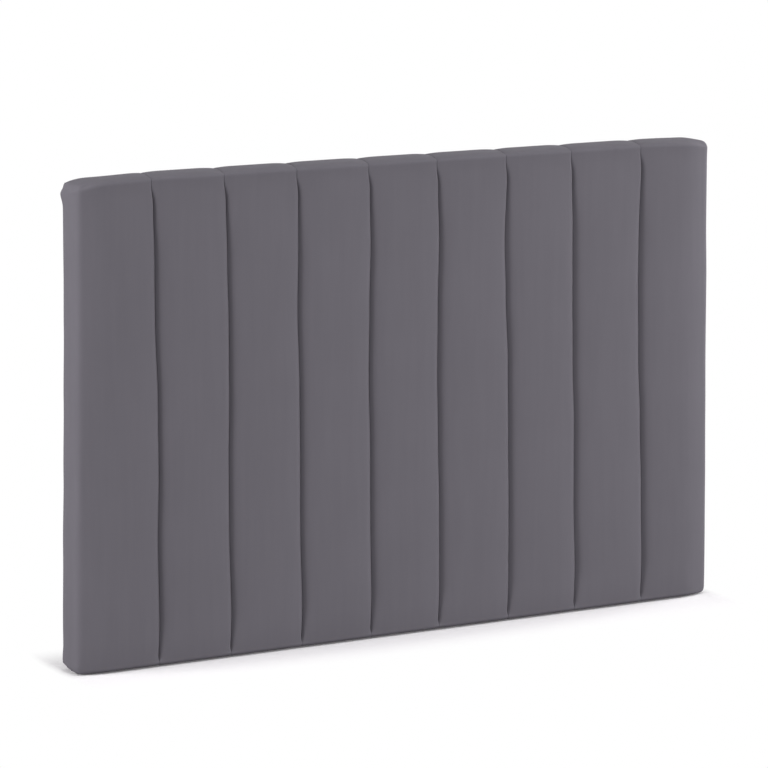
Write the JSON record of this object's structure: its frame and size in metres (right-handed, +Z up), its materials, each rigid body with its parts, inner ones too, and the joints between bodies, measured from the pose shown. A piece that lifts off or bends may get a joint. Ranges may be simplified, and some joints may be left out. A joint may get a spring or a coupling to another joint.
{
  "type": "headboard",
  "caption": "Slim rectangular headboard with vertical padded channels in smooth grey velvet, a wooden frame inside, and keyhole hangers and felt pads behind for a wall.",
  "frame": {"origin": "middle of the base: centre of width and depth, on the level that the headboard stands on", "axes": "+X to the right as seen from the front, the padded front faces -Y, +Z up"},
  "size_m": [1.05, 0.06, 0.7],
  "materials": {
    "velvet": "smooth short-pile velvet, dark grey",
    "foam": "open-cell upholstery foam",
    "hardboard": "pressed hardboard, smooth",
    "pine": "planed pine, unfinished",
    "wadding": "polyester wadding",
    "dust_cloth": "black spun-bonded dust cloth",
    "zinc_plate": "bright zinc plating",
    "zinc_screw": "bright zinc plating",
    "staple_wire": "galvanised wire",
    "felt": "pressed felt, dark grey"
  },
  "bodies": {
    "root": {"cover_strip_1": "velvet", "cover_strip_2": "velvet", "cover_strip_3": "velvet", "cover_strip_4": "velvet", "cover_strip_5": "velvet", "cover_strip_6": "velvet", "cover_strip_7": "velvet", "cover_strip_8": "velvet", "cover_strip_9": "velvet", "foam_bar_1": "foam", "foam_bar_2": "foam", "foam_bar_3": "foam", "foam_bar_4": "foam", "foam_bar_5": "foam", "foam_bar_6": "foam", "foam_bar_7": "foam", "foam_bar_8": "foam", "foam_bar_9": "foam", "front_board": "hardboard", "frame_top_rail": "pine", "frame_bottom_rail": "pine", "frame_left_stile": "pine", "frame_right_stile": "pine", "frame_centre_stile": "pine", "corner_block_top_left": "pine", "corner_block_top_right": "pine", "corner_block_bottom_left": "pine", "corner_block_bottom_right": "pine", "edge_wadding_top": "wadding", "edge_wadding_bottom": "wadding", "edge_wadding_left": "wadding", "edge_wadding_right": "wadding", "back_cloth": "dust_cloth", "hanger_plate_left": "zinc_plate", "hanger_plate_right": "zinc_plate", "hanger_screws": "zinc_screw", "frame_screws": "zinc_screw", "board_staples": "staple_wire", "cover_staples": "staple_wire", "back_cloth_staples": "staple_wire", "wall_pad_left": "felt", "wall_pad_right": "felt"}
  },
  "joints": []
}
